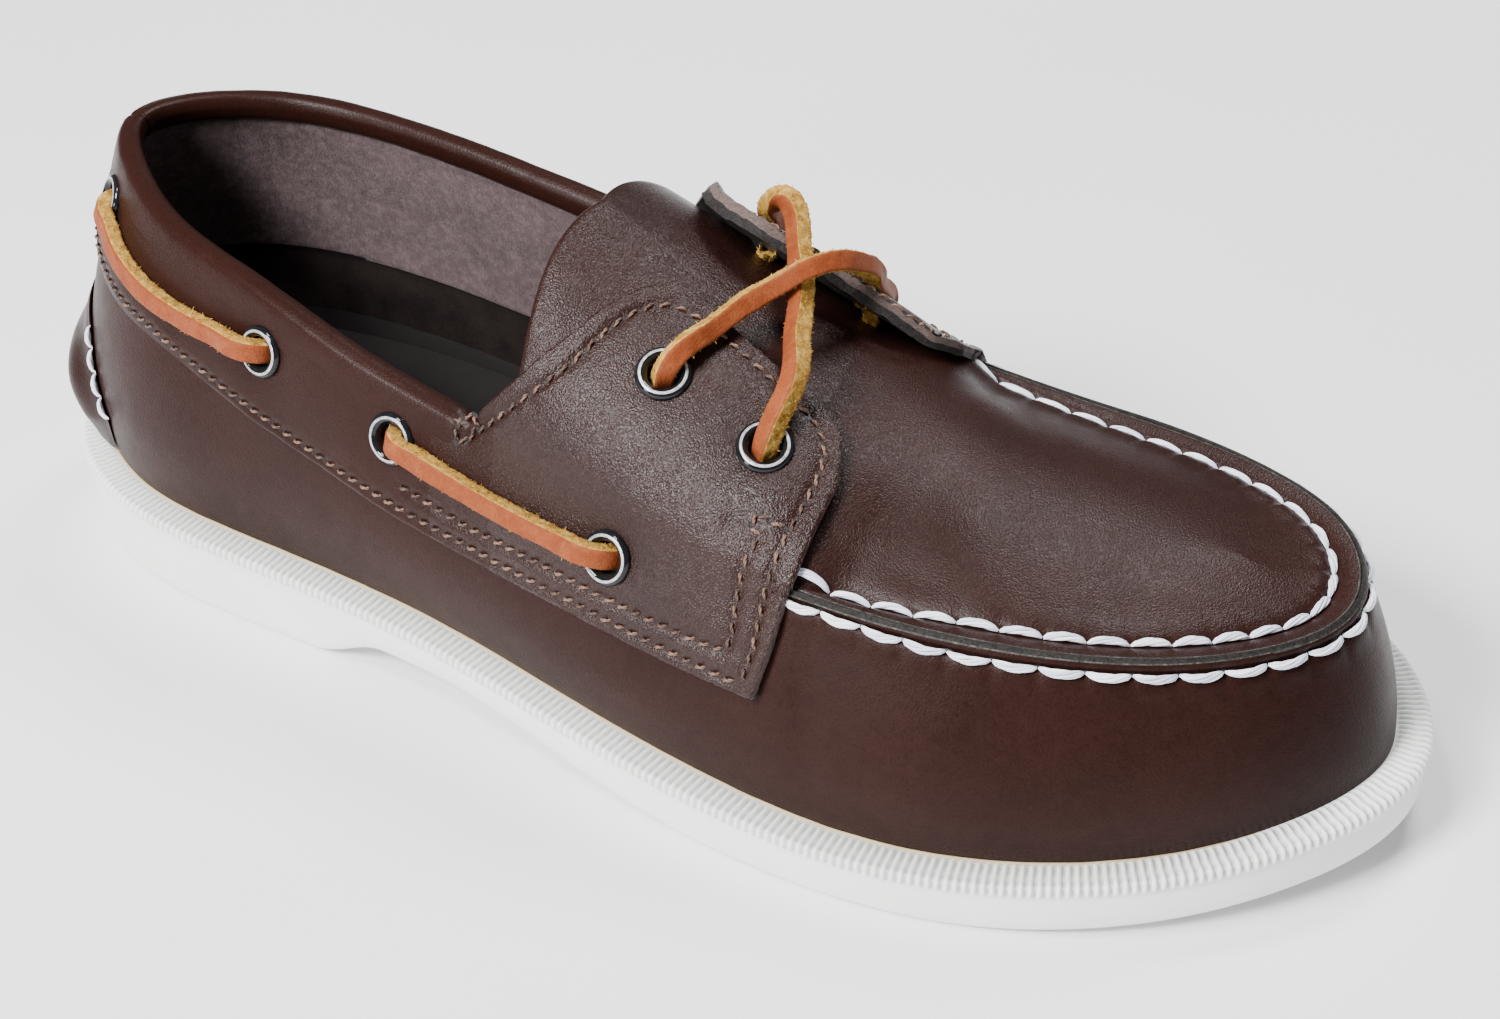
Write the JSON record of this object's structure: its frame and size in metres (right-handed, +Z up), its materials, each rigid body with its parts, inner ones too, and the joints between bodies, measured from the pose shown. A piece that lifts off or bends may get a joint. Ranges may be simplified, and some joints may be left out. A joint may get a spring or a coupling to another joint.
{
  "type": "boat shoe",
  "caption": "Low moccasin-toe boat shoe for the right foot, dark brown leather upper with rawhide side lacing over a flat pale rubber sole with a low heel.",
  "frame": {"origin": "on the floor, under the middle of the outsole's outline", "axes": "+X from heel to toe, +Y towards the inner (medial) side, -Y towards the outer (lateral) side, +Z up"},
  "size_m": [0.2976, 0.1113, 0.0944],
  "materials": {
    "upper_leather": "smooth semi-gloss dark brown leather with a fine grain",
    "sole_rubber": "matt off-white rubber",
    "insole_lining": "matt dark grey footbed",
    "black_enamel": "glossy black",
    "rawhide": "tan rawhide lace, smooth on one face and fibrous on the other"
  },
  "bodies": {
    "root": {"outsole": "sole_rubber", "insole": "insole_lining", "upper": "upper_leather", "tongue": "upper_leather", "eyestay_lateral": "upper_leather", "eyestay_medial": "upper_leather", "heel_patch": "upper_leather", "eyelet_lat_1": "black_enamel", "eyelet_lat_2": "black_enamel", "eyelet_lat_3": "black_enamel", "eyelet_lat_4": "black_enamel", "eyelet_lat_5": "black_enamel", "eyelet_lat_6": "black_enamel", "eyelet_med_1": "black_enamel", "eyelet_med_2": "black_enamel", "eyelet_med_3": "black_enamel", "eyelet_med_4": "black_enamel", "eyelet_med_5": "black_enamel", "eyelet_med_6": "black_enamel", "lace_rear_lateral": "rawhide", "lace_rear_medial": "rawhide", "lace_front_lateral": "rawhide", "lace_front_medial": "rawhide", "lace_crossing": "rawhide"}
  },
  "joints": []
}
